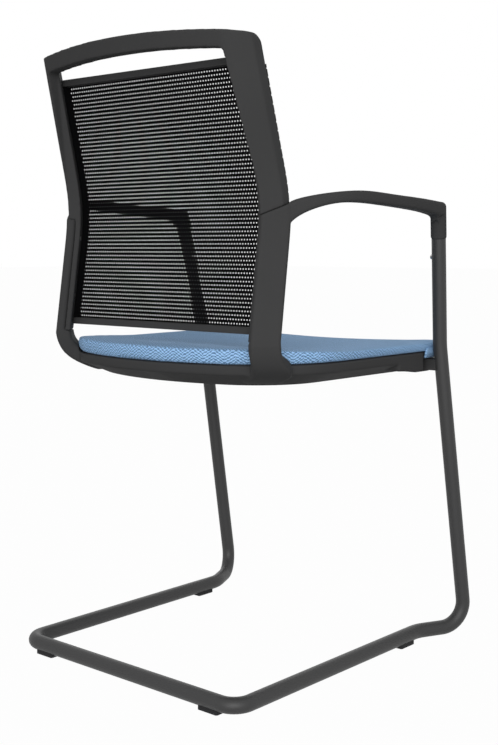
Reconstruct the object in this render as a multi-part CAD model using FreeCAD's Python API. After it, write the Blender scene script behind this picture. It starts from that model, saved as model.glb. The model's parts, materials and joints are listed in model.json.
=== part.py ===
"""Conference chair: a net back, arms and a padded seat on a bent tube that stands on a U-shaped sled.

Millimetres, +Z up, the floor at Z = 0. X runs to the sitter's left and the chair faces -Y. While the
pieces are made, Y = 0 is the middle of the rear crossbar; on export they are moved so that the origin
lies midway between the chair's rearmost point and the front of the feet.
"""
import FreeCAD, Part
import math
import os

V = FreeCAD.Vector

# Sled frame: one tube, from the left arm down the leg, round the floor and up to the right arm
TUBE_DIAMETER = 22.0
TUBE_WALL = 2.0
LEG_CLEARANCE = 3.5
TOE_SPREAD = 39.0
TOE_LENGTH = 81.0
RUNNER_LENGTH = 428.0
LEG_LEAN = 0.1644
UPPER_LEAN = 0.170
UPPER_FLARE = 0.0935
KNEE_HEIGHT = 467.5
TUBE_TOP = 635.0
REAR_BEND = 27.0
TOE_BEND = 55.0
FOOT_BEND = 37.0
KNEE_BEND = 160.0

# Glides under the sled
GLIDE_LENGTH = 36.0
GLIDE_WIDTH = 15.0
GLIDE_DROP = 3.5
GLIDE_SADDLE = 3.0
GLIDE_CORNER = 3.0
REAR_GLIDE_INSET = 45.5
FRONT_GLIDE_SETBACK = 35.0
PIN_DIAMETER = 4.0
PIN_HEAD_DIAMETER = 7.0
PIN_HEAD_HEIGHT = 1.2
PIN_REACH = 5.0

# Seat
SEAT_HALF_WIDTH = 240.0
SEAT_REAR = -24.0
SEAT_REAR_RADIUS = 400.0
SEAT_CORNER_RADIUS = 160.0
SEAT_FRONT = -481.0
SEAT_FRONT_CORNER = 36.0
PAN_FRONT = -414.0
PAN_BOTTOM = 424.5
PAN_HEIGHT = 33.0
RIM_HEIGHT = 14.0
RIM_DRAFT = 1.0
UNDERSIDE_INSET = 46.0
PAN_WALL = 3.5
PAN_FLOOR = 4.0
PAN_EDGE = 4.0
TONGUE_INSET = 14.0
# The pan is full depth at its front, in a box whose bottom slopes down to the front wall
BOX_LENGTH = 69.0
BOX_REAR_BOTTOM = 432.0
BOX_FRONT_BOTTOM = 427.0
BOARD_THICKNESS = 12.0
BOARD_SETBACK = 8.0
CUSHION_EDGE = 18.0
CUSHION_CROWN = 1.5
CUSHION_DIP = 8.0
CUSHION_DIP_LENGTH = 180.0
CUSHION_DIP_INSET = 40.0
RAIL_DEPTH = 25.0
BOSS_DIAMETER = 18.0
SCREW_DIAMETER = 4.0
SCREW_HEAD_DIAMETER = 8.0
SCREW_HEAD_HEIGHT = 2.4
SCREW_BITE = 7.0
# The pan's screws, rear and front: how far in from the seat's side, and Y
PAN_SCREWS = ((90.0, -130.0), (68.0, -330.0))
RAIL_SCREW_X = 120.0
# The cushion's side from its foot to its edge: share of the height and how far it is drawn in
CUSHION_SIDE = ((0.0, 4.5), (0.25, 1.0), (0.55, 0.0), (0.8, 1.0), (1.0, 7.0))
# The cushion's top from its edge inward: share of the crown's rise and how far it is drawn in
CUSHION_TOP = ((0.45, 28.0), (0.85, 63.0), (1.0, 98.0))

# Back: two upright blades joined by an arched rail, a net stretched across their front edges
BLADE_LENGTH = 43.0
BLADE_THICKNESS = 19.5
WING_ANGLE = 48.7
BACK_INSET = 54.5
BACK_TAPER = 6.5
LUMBAR_HEIGHT = 680.0
LUMBAR_DEPTH = -83.5
LUMBAR_RADIUS = 240.0
LEAN_LOW = -0.135
LEAN_HIGH = 0.255
BLADE_BOTTOM = 490.5
RAIL_TOP = 921.5
RAIL_HEIGHT = 24.0
RAIL_RISE = 11.5
RAIL_BOW = 17.0
RAIL_TRIM = 3.0
SLOT_RISE = 8.0
SLOT_CORNER = 9.0
OUTER_CORNER = 8.0
WING_CORNER = 27.0
WING_CORNER_DROP = 10.0
WING_TOP_SLOPE = 0.1
BACK_CORNER = 30.0
BAR_HEIGHT = 9.6
BAR_DEPTH = 12.0
TOP_BAR = 873.0
BOTTOM_BAR = 500.0
NET_THICKNESS = 1.2
NET_OVERHANG = 2.0
NET_BORDER = 6.0
NET_RIB = 9.0
NET_COLUMNS = 12
NET_ROWS = 11
STRIP_WIDTH = 14.0
CLAD_SCREW_INSET = 45.0
CLAD_SCREW_SINK = 0.5
BACK_SECTIONS = 12

# Side mouldings: the arm, the cladding of the blade below it and the foot that joins the seat pan
SKIN_PROUD = 3.5
CORE_THICKNESS = 8.5
SEAM_OUTER = 681.5
SEAM_INNER = 664.5
FOOT_RADIUS = 43.5
FOOT_TURN = 70.0
FOOT_REACH = 70.0
FOOT_LAP = 1.2
FOOT_END_HEIGHT = 22.0
# The foot through its turn: share of the turn, how far its inner edge draws in and its outer edge spreads
FOOT_STATIONS = ((0.0, 0.0, 0.0), (0.25, 0.3, 1.5), (0.45, 2.0, 6.0), (0.68, 4.8, 15.0), (1.0, 5.0, 20.0))
ARM_WIDTH = 24.4
ARM_CORNER = 5.0
ARM_END_RISE = 55.0
ARM_END_ROUND = 6.0
ARM_FILLET = 15.0
ARM_FILLET_LAP = 1.0
ARM_ROOT_INSET = 9.0
ARM_ROOT_WIDTH = 17.0
ARM_ROOT_DROP = 5.5
SPIGOT_LENGTH = 60.0
# The arm from the blade to the tube: share of the way, bow outward, lift, height and width
ARM_STATIONS = (
    (0.000, 0.0, 0.0, 36.0, ARM_ROOT_WIDTH),
    (0.033, 4.5, 8.4, 27.6, 18.0),
    (0.093, 15.7, 14.3, 20.5, 21.0),
    (0.193, 29.9, 18.7, 16.0, ARM_WIDTH),
    (0.334, 37.2, 19.8, 17.0, ARM_WIDTH),
    (0.501, 36.1, 14.6, 17.2, ARM_WIDTH),
    (0.669, 29.0, 9.4, 17.9, ARM_WIDTH),
    (0.837, 16.3, 4.7, 19.6, ARM_WIDTH),
    (0.920, 8.2, 2.2, 21.0, ARM_WIDTH),
    (1.000, 0.0, 0.0, 21.0, ARM_WIDTH),
)

# Clearances
SEAT_GAP = 0.3
JOINT_GAP = 0.15
HOLE_GAP = 0.2
BOARD_GAP = 0.8
CUSHION_GAP = 1.0

TUBE_RADIUS = TUBE_DIAMETER / 2
LEG_HALF_WIDTH = SEAT_HALF_WIDTH + LEG_CLEARANCE + TUBE_RADIUS
RUNNER_HALF_WIDTH = LEG_HALF_WIDTH - TOE_SPREAD
BACK_HALF_LOW = SEAT_HALF_WIDTH - BACK_INSET
BACK_HALF_HIGH = BACK_HALF_LOW - BACK_TAPER
FOOT_LENGTH = RUNNER_LENGTH + TOE_LENGTH
BORE_RADIUS = TUBE_RADIUS - TUBE_WALL
TUBE_HEIGHT = TUBE_RADIUS + GLIDE_DROP
PAN_TOP = PAN_BOTTOM + PAN_HEIGHT
BOARD_BOTTOM = PAN_TOP - BOARD_THICKNESS
FLOOR_TOP = PAN_BOTTOM + PAN_FLOOR
RIM_BOTTOM = PAN_TOP - RIM_HEIGHT
RAIL_BAR_HEIGHT = BOARD_BOTTOM - FLOOR_TOP
SKIN_THICKNESS = BLADE_THICKNESS + SKIN_PROUD - CORE_THICKNESS - JOINT_GAP
FOOT_THICKNESS = BLADE_THICKNESS + SKIN_PROUD
# The cladding and the blade inside it are shorter than the back, and take fewer sections
SKIN_SECTIONS = 3 * BACK_SECTIONS // 4
CORE_SECTIONS = BACK_SECTIONS // 2 + 1
# Longer than the back is deep or wide, for the blocks that cut right through it
CUT_REACH = 400.0
WING = math.radians(WING_ANGLE)
# Along the blade, from its inner edge forward to the net, and square to it, outward and rearward
ALONG = V(math.cos(WING), -math.sin(WING), 0)
ACROSS = V(math.sin(WING), math.cos(WING), 0)
UP = V(0, 0, 1)
SIDES = (("left", 1), ("right", -1))


def leg_y(z):
    """Y of the leg's centreline at a height below the knee."""
    return -FOOT_LENGTH + LEG_LEAN * (z - TUBE_HEIGHT)


def upper_point(z):
    """The tube's centreline at a height above the knee, on the sitter's left."""
    rise = z - KNEE_HEIGHT
    return V(LEG_HALF_WIDTH + UPPER_FLARE * rise, leg_y(KNEE_HEIGHT) + UPPER_LEAN * rise, z)


def side(shape, sign):
    """The piece as made on the sitter's left, or its mirror image on the right."""
    return shape if sign > 0 else shape.mirror(V(0, 0, 0), V(1, 0, 0))


def bent_path(points, radii):
    """Straight runs joined by tangent arcs."""
    edges = []
    start = points[0]
    for corner, before, after, radius in zip(points[1:-1], points, points[2:], radii):
        back = (before - corner).normalize()
        ahead = (after - corner).normalize()
        half = back.getAngle(ahead) / 2
        reach = radius / math.tan(half)
        middle = (back + ahead).normalize() * (radius / math.sin(half) - radius)
        edges.append(Part.LineSegment(start, corner + back * reach).toShape())
        edges.append(Part.Arc(corner + back * reach, corner + middle, corner + ahead * reach).toShape())
        start = corner + ahead * reach
    edges.append(Part.LineSegment(start, points[-1]).toShape())
    return Part.Wire(edges)


def rod_along(path, start, direction, radius):
    """A round solid swept along a path."""
    profile = Part.Wire(Part.Circle(start, direction, radius).toShape())
    return path.makePipeShell([profile], True, False)


def wire_of(points, close=True):
    """Straight edges through the points."""
    ends = points[1:] + points[:1] if close else points[1:]
    return Part.Wire([Part.LineSegment(a, b).toShape() for a, b in zip(points, ends)])


def rounded_wire(centre, across, along, width, height, radius):
    """A rounded rectangle about a centre, with its width and height along two directions."""
    x = width / 2
    y = height / 2
    r = min(radius, 0.49 * width, 0.49 * height)
    edges = []
    corners = ((1, 1), (-1, 1), (-1, -1), (1, -1))
    ring = []
    for sx, sy in corners:
        mid = centre + across * (sx * (x - r)) + along * (sy * (y - r))
        flat = mid + across * (sx * r)
        upright = mid + along * (sy * r)
        bulge = mid + (across * sx + along * sy) * (r * math.sqrt(0.5))
        first, last = (flat, upright) if sx * sy > 0 else (upright, flat)
        ring.append((first, bulge, last))
    for this, following in zip(ring, ring[1:] + ring[:1]):
        edges.append(Part.Arc(*this).toShape())
        edges.append(Part.LineSegment(this[2], following[0]).toShape())
    return Part.Wire(edges)


def loft(wires, ruled=False):
    """A closed solid through a row of outlines."""
    return Part.makeLoft(wires, True, ruled)


def prism(wire, travel):
    """A flat outline pushed along a direction."""
    return Part.Face(wire).extrude(travel)


def screw(seat, direction, head_radius, head_height, radius, length):
    """A screw with its head seated at a point and its shank running on from there."""
    head = Part.makeCylinder(head_radius, head_height, seat - direction * head_height, direction)
    shank = Part.makeCylinder(radius, length, seat, direction)
    return head.fuse(shank).removeSplitter()


def wood_screw(seat, direction, length):
    """One of the screws that hold the chair together, all of one diameter and head."""
    head_radius = SCREW_HEAD_DIAMETER / 2
    return screw(seat, direction, head_radius, SCREW_HEAD_HEIGHT, SCREW_DIAMETER / 2, length)


def screw_hole(seat, direction, length):
    """The hole for such a screw's shank, begun just before its seat."""
    start = seat - direction * HOLE_GAP
    return Part.makeCylinder(SCREW_DIAMETER / 2 + HOLE_GAP / 2, length + 2 * HOLE_GAP, start, direction)


def head_hole(seat, direction, radius, room):
    """The hole that lets a screw's head in, open on the head's side."""
    return Part.makeCylinder(radius + HOLE_GAP, room, seat - direction * room, direction)


# Sled frame

def sled_path():
    """The tube's centreline from one arm to the other."""
    half = [
        upper_point(TUBE_TOP),
        V(LEG_HALF_WIDTH, leg_y(KNEE_HEIGHT), KNEE_HEIGHT),
        V(LEG_HALF_WIDTH, -FOOT_LENGTH, TUBE_HEIGHT),
        V(RUNNER_HALF_WIDTH, -RUNNER_LENGTH, TUBE_HEIGHT),
        V(RUNNER_HALF_WIDTH, 0, TUBE_HEIGHT),
    ]
    other = [V(-p.x, p.y, p.z) for p in reversed(half)]
    radii = [KNEE_BEND, FOOT_BEND, TOE_BEND, REAR_BEND]
    return bent_path(half + other, radii + radii[::-1])


def make_sled_frame():
    """The bent tube, with its bore and the holes for the glide pins and the arm screws."""
    path = sled_path()
    start = upper_point(TUBE_TOP)
    direction = arm_axis() * -1
    body = rod_along(path, start, direction, TUBE_RADIUS)
    body = body.cut(rod_along(path, start, direction, BORE_RADIUS))
    for x, y, _ in glide_places():
        hole = Part.makeCylinder(PIN_DIAMETER / 2 + HOLE_GAP / 2, TUBE_RADIUS, V(x, y, 0), UP)
        body = body.cut(hole)
    for _, sign in SIDES:
        body = body.cut(side(screw_hole(arm_screw_seat(), arm_screw_way(), TUBE_RADIUS), sign))
    return body


def glide_places():
    """X, Y and whether the glide lies along the runner, for each of the four glides."""
    rear_x = RUNNER_HALF_WIDTH - REAR_GLIDE_INSET
    front_y = FRONT_GLIDE_SETBACK - RUNNER_LENGTH
    rear = [(sign * rear_x, 0.0, False) for _, sign in SIDES]
    front = [(sign * RUNNER_HALF_WIDTH, front_y, True) for _, sign in SIDES]
    return rear + front


def make_glide(x, y, along_runner):
    """A block with a hollow top that sits under the tube, drilled for its pin."""
    size = (GLIDE_WIDTH, GLIDE_LENGTH) if along_runner else (GLIDE_LENGTH, GLIDE_WIDTH)
    height = GLIDE_DROP + GLIDE_SADDLE
    outline = rounded_wire(V(x, y, 0), V(1, 0, 0), V(0, 1, 0), size[0], size[1], GLIDE_CORNER)
    block = prism(outline, V(0, 0, height))
    axis = V(0, 1, 0) if along_runner else V(1, 0, 0)
    run = GLIDE_LENGTH * 2
    tube = Part.makeCylinder(TUBE_RADIUS + JOINT_GAP, run, V(x, y, TUBE_HEIGHT) - axis * (run / 2), axis)
    seat = V(x, y, PIN_HEAD_HEIGHT + SEAT_GAP)
    head = head_hole(seat, UP, PIN_HEAD_DIAMETER / 2, seat.z)
    shank = Part.makeCylinder(PIN_DIAMETER / 2 + HOLE_GAP / 2, height, V(x, y, 0), UP)
    return block.cut(tube).cut(head).cut(shank)


def make_glide_pin(x, y):
    """The rivet that holds a glide, its head sunk in the glide's underside."""
    seat = V(x, y, PIN_HEAD_HEIGHT + SEAT_GAP)
    length = GLIDE_DROP + TUBE_WALL + PIN_REACH - seat.z
    return screw(seat, UP, PIN_HEAD_DIAMETER / 2, PIN_HEAD_HEIGHT, PIN_DIAMETER / 2, length)


def make_cross_rail():
    """The flat bar welded between the two legs that carries the front of the seat."""
    middle = (FLOOR_TOP + BOARD_BOTTOM) / 2
    y = leg_y(middle)
    # Its ends are notched round the legs a third of the way to their middle
    reach = LEG_HALF_WIDTH - TUBE_RADIUS / 3
    bar = Part.makeBox(2 * reach, RAIL_DEPTH, RAIL_BAR_HEIGHT, V(-reach, y - RAIL_DEPTH / 2, FLOOR_TOP))
    low = TUBE_HEIGHT + FOOT_BEND
    high = KNEE_HEIGHT
    for _, sign in SIDES:
        foot = V(sign * LEG_HALF_WIDTH, leg_y(low), low)
        axis = V(0, LEG_LEAN, 1)
        bar = bar.cut(Part.makeCylinder(TUBE_RADIUS + JOINT_GAP, high - low, foot, axis))
    for x, y in rail_screws():
        bar = bar.cut(screw_hole(V(x, y, PAN_BOTTOM), UP, PAN_HEIGHT))
    return bar


# Seat

def seat_wire(z, inset, front, corner):
    """The seat's outline in plan, drawn in by an inset: a round rear and a straight or rounded front."""
    half = SEAT_HALF_WIDTH - inset
    rear = SEAT_REAR - inset
    big = SEAT_REAR_RADIUS - inset
    small = SEAT_CORNER_RADIUS - inset
    big_centre = V(0, rear - big, z)
    small_y = big_centre.y + math.sqrt((big - small) ** 2 - (half - small) ** 2)
    small_centre = V(half - small, small_y, z)
    outward = (small_centre - big_centre).normalize()
    meet = big_centre + outward * big
    angle = math.atan2(outward.y, outward.x) / 2
    bend = small_centre + V(math.cos(angle), math.sin(angle), 0) * small
    widest = V(half, small_y, z)
    low = V(half, front + corner, z)
    turn = V(half - corner, front, z)
    round_front = V(half - corner, front + corner, z) + V(1, -1, 0) * (corner * math.sqrt(0.5))

    def flip(p):
        return V(-p.x, p.y, p.z)

    edges = [
        Part.Arc(flip(meet), V(0, rear, z), meet).toShape(),
        Part.Arc(meet, bend, widest).toShape(),
        Part.LineSegment(widest, low).toShape(),
        Part.Arc(low, round_front, turn).toShape(),
        Part.LineSegment(turn, flip(turn)).toShape(),
        Part.Arc(flip(turn), flip(round_front), flip(low)).toShape(),
        Part.LineSegment(flip(low), flip(widest)).toShape(),
        Part.Arc(flip(widest), flip(bend), flip(meet)).toShape(),
    ]
    return Part.Wire(edges)


def wall_inset(z):
    """How far the pan's outside is drawn in at a height: an upright rim over a sloping underside."""
    if z >= RIM_BOTTOM:
        return RIM_DRAFT * (PAN_TOP - z) / RIM_HEIGHT
    return RIM_DRAFT + UNDERSIDE_INSET * (RIM_BOTTOM - z) / (RIM_BOTTOM - PAN_BOTTOM)


def tray_block(rows, front):
    """A solid with the seat's outline through rows of height and inset."""
    return loft([seat_wire(z, inset, front, PAN_EDGE) for z, inset in rows], True)


def pan_outside(gap=0.0):
    """The pan's outer form, grown by a gap."""
    rows = [(z - gap, wall_inset(z) - gap) for z in (PAN_BOTTOM, RIM_BOTTOM)]
    return tray_block(rows + [(PAN_TOP, -gap)], PAN_FRONT - gap)


def pan_hollow():
    """The room inside the pan: its slope meets the rim at the board's underside."""
    rows = [
        (FLOOR_TOP, wall_inset(PAN_BOTTOM) + PAN_WALL),
        (BOARD_BOTTOM, wall_inset(RIM_BOTTOM) + PAN_WALL),
        (PAN_TOP, PAN_WALL),
    ]
    return tray_block(rows, PAN_FRONT + PAN_WALL)


def front_box(wall, top):
    """The full depth box at the pan's front, or the room inside its walls, up to a height."""
    half = SEAT_HALF_WIDTH - RIM_DRAFT - wall
    rows = (
        (PAN_FRONT + BOX_LENGTH - wall, BOX_REAR_BOTTOM + wall),
        (PAN_FRONT + wall, BOX_FRONT_BOTTOM + wall),
        (PAN_FRONT + wall, top),
        (PAN_FRONT + BOX_LENGTH - wall, top),
    )
    return prism(wire_of([V(-half, y, z) for y, z in rows]), V(2 * half, 0, 0))


def pan_screws():
    """Where the board is screwed through the pan's bosses."""
    return [(sign * (SEAT_HALF_WIDTH - inset), y) for inset, y in PAN_SCREWS for _, sign in SIDES]


def rail_screws():
    """Where the board is screwed through the cross rail."""
    y = leg_y((FLOOR_TOP + BOARD_BOTTOM) / 2)
    return [(sign * RAIL_SCREW_X, y) for _, sign in SIDES]


def seat_corner(z):
    """The middle of the seat's round rear corner, on the left."""
    x = SEAT_HALF_WIDTH - SEAT_CORNER_RADIUS
    reach = math.sqrt((SEAT_REAR_RADIUS - SEAT_CORNER_RADIUS) ** 2 - x ** 2)
    return V(x, SEAT_REAR - SEAT_REAR_RADIUS + reach, z)


def foot_screw(sign):
    """The seat of a foot screw's head, inside the pan's wall, and the way it points."""
    z = (BOARD_BOTTOM + PAN_TOP) / 2
    centre = seat_corner(z)
    outward = (foot_start() - V(centre.x, centre.y, foot_start().z)).normalize()
    seat = centre + outward * (SEAT_CORNER_RADIUS - wall_inset(z) - PAN_WALL)
    return V(sign * seat.x, seat.y, z), V(sign * outward.x, outward.y, 0)


def make_seat_pan():
    """The moulded tray under the board, with bosses and a tongue that reaches under the cross rail."""
    tray = pan_outside().fuse(front_box(0, RIM_BOTTOM))
    # The board runs on forward over the tray's front wall
    half = SEAT_HALF_WIDTH - PAN_WALL
    corner = V(-half, PAN_FRONT - PAN_WALL, BOARD_BOTTOM)
    notch = Part.makeBox(2 * half, 4 * PAN_WALL, BOARD_THICKNESS, corner)
    pan = tray.cut(pan_hollow()).cut(front_box(PAN_WALL, BOARD_BOTTOM)).cut(notch)
    half = SEAT_HALF_WIDTH - TONGUE_INSET
    front = leg_y(FLOOR_TOP) - RAIL_DEPTH / 2
    thickness = FLOOR_TOP - JOINT_GAP - PAN_BOTTOM
    tongue = Part.makeBox(2 * half, PAN_FRONT + PAN_WALL - front, thickness, V(-half, front, PAN_BOTTOM))
    pan = pan.fuse(tongue)
    boss_height = BOARD_BOTTOM - JOINT_GAP - PAN_BOTTOM
    for x, y in pan_screws():
        pan = pan.fuse(Part.makeCylinder(BOSS_DIAMETER / 2, boss_height, V(x, y, PAN_BOTTOM), UP))
    for x, y in pan_screws():
        seat = pan_screw_seat(x, y)
        pan = pan.cut(head_hole(seat, UP, SCREW_HEAD_DIAMETER / 2, 2 * PAN_FLOOR))
        pan = pan.cut(screw_hole(seat, UP, PAN_HEIGHT))
    for x, y in rail_screws():
        pan = pan.cut(screw_hole(V(x, y, PAN_BOTTOM), UP, PAN_HEIGHT))
    for _, sign in SIDES:
        seat, direction = foot_screw(sign)
        pan = pan.cut(head_hole(seat, direction, SCREW_HEAD_DIAMETER / 2, 2 * PAN_WALL))
        pan = pan.cut(screw_hole(seat, direction, 2 * PAN_WALL))
    return pan.removeSplitter()


def pan_screw_seat(x, y):
    """Where the head of a pan screw bears, inside its boss."""
    return V(x, y, PAN_BOTTOM + PAN_FLOOR)


def make_pan_screw(x, y):
    """A screw up through a boss into the board."""
    seat = pan_screw_seat(x, y)
    return wood_screw(seat, UP, BOARD_BOTTOM - seat.z + SCREW_BITE)


def make_rail_screw(x, y):
    """A screw up through the tongue and the cross rail into the board."""
    return wood_screw(V(x, y, PAN_BOTTOM), UP, BOARD_BOTTOM - PAN_BOTTOM + SCREW_BITE)


def make_seat_board():
    """The plywood board inside the pan's rim, drilled for the screws."""
    inset = wall_inset(BOARD_BOTTOM) + PAN_WALL + BOARD_GAP
    front = SEAT_FRONT + BOARD_SETBACK
    board = prism(seat_wire(BOARD_BOTTOM, inset, front, SEAT_FRONT_CORNER), V(0, 0, BOARD_THICKNESS))
    for x, y in pan_screws() + rail_screws():
        board = board.cut(screw_hole(V(x, y, BOARD_BOTTOM), UP, SCREW_BITE))
    # A notch at each foot leaves room for the screw's head inside the pan's wall
    for _, sign in SIDES:
        seat, _ = foot_screw(sign)
        notch = Part.makeCylinder(2 * SCREW_HEAD_DIAMETER, PAN_HEIGHT, V(seat.x, seat.y, PAN_BOTTOM), UP)
        board = board.cut(notch)
    return board


def make_seat_cushion():
    """The upholstered pad: drawn in at its foot, rounded at its edge and crowned on top."""
    base = PAN_TOP + SEAT_GAP
    top = base + CUSHION_EDGE
    rows = [(base + share * CUSHION_EDGE, inset) for share, inset in CUSHION_SIDE]
    rows += [(top + share * CUSHION_CROWN, inset) for share, inset in CUSHION_TOP]
    wires = [seat_wire(z, inset, SEAT_FRONT + inset, SEAT_FRONT_CORNER) for z, inset in rows]
    pad = loft(wires, True)
    # The top dips towards the middle of the front edge
    half = SEAT_HALF_WIDTH - CUSHION_DIP_INSET
    radius = (half ** 2 + CUSHION_DIP ** 2) / (2 * CUSHION_DIP)
    slope = CUSHION_DIP / CUSHION_DIP_LENGTH
    front = V(0, SEAT_FRONT - CUSHION_DIP_LENGTH, top - 2 * CUSHION_DIP + radius)
    dip = Part.makeCylinder(radius, 3 * CUSHION_DIP_LENGTH, front, V(0, 1, slope))
    return pad.cut(dip)


# Back

def blade_inner(z):
    """The blade's inner front corner in plan, on the sitter's left."""
    share = max((z - LUMBAR_HEIGHT) / (RAIL_TOP - LUMBAR_HEIGHT), 0.0)
    x = BACK_HALF_LOW + (BACK_HALF_HIGH - BACK_HALF_LOW) * share
    turn = (math.atan(LEAN_HIGH) - math.atan(LEAN_LOW)) / 2
    reach = LUMBAR_RADIUS * math.tan(turn)
    rise = z - LUMBAR_HEIGHT
    if rise < -reach:
        y = LUMBAR_DEPTH + LEAN_LOW * rise
    elif rise > reach:
        y = LUMBAR_DEPTH + LEAN_HIGH * rise
    else:
        middle = (LEAN_LOW + LEAN_HIGH) / 2
        bend = (LEAN_HIGH - LEAN_LOW) / (4 * reach)
        y = LUMBAR_DEPTH + middle * rise + bend * (rise ** 2 + reach ** 2)
    return V(x, y, z)


def back_heights(low, high, count=BACK_SECTIONS):
    """Even steps of height between two levels."""
    return [low + (high - low) * i / (count - 1) for i in range(count)]


def panel_wire(z):
    """The back's outline in plan where the rail and both blades run together."""
    inner = blade_inner(z)
    round_end = BLADE_THICKNESS / 2
    tip_centre = inner + ALONG * (BLADE_LENGTH - round_end) + ACROSS * round_end
    near = tip_centre - ACROSS * round_end
    tip = tip_centre + ALONG * round_end
    far = tip_centre + ACROSS * round_end
    # The rear faces of the rail and the blade meet here before they are rounded
    steps = (far.y - inner.y - BLADE_THICKNESS) / ALONG.y
    corner = far - ALONG * steps
    slope = 2 * math.atan(RAIL_BOW / inner.x)
    reach = BACK_CORNER * math.tan((WING - slope) / 2)
    blade_end = corner + ALONG * reach
    rail_end = corner + V(-math.cos(slope), math.sin(slope), 0) * reach
    centre = blade_end - ACROSS * BACK_CORNER
    turn = (WING + slope) / 2
    bulge = centre + V(math.sin(turn), math.cos(turn), 0) * BACK_CORNER
    front_middle = V(0, inner.y + RAIL_BOW, z)
    rear_middle = V(0, rail_end.y + rail_end.x * math.tan(slope / 2), z)
    half_turn = math.sqrt(0.5) * round_end
    arc_in = tip_centre + ALONG * half_turn - ACROSS * half_turn
    arc_out = tip_centre + ALONG * half_turn + ACROSS * half_turn

    def flip(p):
        return V(-p.x, p.y, p.z)

    edges = [
        Part.Arc(flip(inner), front_middle, inner).toShape(),
        Part.LineSegment(inner, near).toShape(),
        Part.Arc(near, arc_in, tip).toShape(),
        Part.Arc(tip, arc_out, far).toShape(),
        Part.LineSegment(far, blade_end).toShape(),
        Part.Arc(blade_end, bulge, rail_end).toShape(),
        Part.Arc(rail_end, rear_middle, flip(rail_end)).toShape(),
        Part.Arc(flip(rail_end), flip(bulge), flip(blade_end)).toShape(),
        Part.LineSegment(flip(blade_end), flip(far)).toShape(),
        Part.Arc(flip(far), flip(arc_out), flip(tip)).toShape(),
        Part.Arc(flip(tip), flip(arc_in), flip(near)).toShape(),
        Part.LineSegment(flip(near), flip(inner)).toShape(),
    ]
    return Part.Wire(edges)


def arch_block(half_low, half_high, bottom, top, rise, corner, deep):
    """A front view block with leaning sides, an arched top and two rounded top corners."""
    chord = half_high
    radius = (chord ** 2 + rise ** 2) / (2 * rise)
    over = top + rise
    rows = ((-half_low, bottom), (half_low, bottom), (half_high, over), (-half_high, over))
    points = [V(x, deep, z) for x, z in rows]
    block = prism(wire_of(points), V(0, -2 * deep, 0))
    dome = Part.makeCylinder(radius, 2 * deep, V(0, -deep, top - radius), V(0, 1, 0))
    block = block.common(dome)
    level = top - 3 * rise
    round_edges = []
    for edge in block.Edges:
        box = edge.BoundBox
        if box.YLength > deep and box.ZMin > level and box.XLength < 0.01:
            round_edges.append(edge)
    return block.makeFillet(corner, round_edges)


def wing_block():
    """A block square to the blade whose one rounded corner shapes the wing's top, on the left."""
    top = RAIL_TOP - WING_CORNER_DROP
    tip = blade_inner(top) + ALONG * BLADE_LENGTH
    below = blade_inner(top - BLADE_LENGTH) + ALONG * BLADE_LENGTH
    # Seen square to the blade, its tip leans as the back does
    lean = (tip - below).dot(ALONG) / BLADE_LENGTH
    drop = top - BLADE_BOTTOM + BLADE_LENGTH
    low = tip - (UP + ALONG * lean) * drop
    far = tip + (UP * WING_TOP_SLOPE - ALONG) * (2 * CUT_REACH)
    far_low = far - UP * (2 * CUT_REACH * WING_TOP_SLOPE + drop)
    edges = bent_path([far, tip, low], [WING_CORNER]).Edges
    edges.append(Part.LineSegment(low, far_low).toShape())
    edges.append(Part.LineSegment(far_low, far).toShape())
    outline = Part.Wire(edges)
    outline.translate(ACROSS * -CUT_REACH)
    return prism(outline, ACROSS * (2 * CUT_REACH))


def seam_block(low, gap):
    """What lies under the slanted seam between the cladding and the bare blade, on the left."""
    inner = blade_inner(LUMBAR_HEIGHT)
    start = inner - ALONG * BLADE_LENGTH
    end = inner + ALONG * (2 * BLADE_LENGTH)
    slope = (SEAM_OUTER - SEAM_INNER) / BLADE_LENGTH
    z_start = SEAM_INNER - slope * BLADE_LENGTH + gap
    z_end = SEAM_OUTER + slope * BLADE_LENGTH + gap
    deep = ACROSS * (3 * BLADE_LENGTH)
    points = [
        V(start.x, start.y, low) - deep,
        V(end.x, end.y, low) - deep,
        V(end.x, end.y, z_end) - deep,
        V(start.x, start.y, z_start) - deep,
    ]
    return prism(wire_of(points), deep * 2)


def clad_zone():
    """The part of the blade that makes room for the cladding, on the left."""
    wires = []
    for z in back_heights(BLADE_BOTTOM - BLADE_LENGTH, SEAM_OUTER + BLADE_LENGTH, SKIN_SECTIONS):
        start = blade_inner(z) + ACROSS * CORE_THICKNESS - ALONG * BLADE_LENGTH
        end = start + ALONG * (3 * BLADE_LENGTH)
        out = ACROSS * (2 * BLADE_LENGTH)
        wires.append(wire_of([start, end, end + out, start + out]))
    return loft(wires).common(seam_block(BLADE_BOTTOM - 2 * BLADE_LENGTH, JOINT_GAP))


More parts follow.
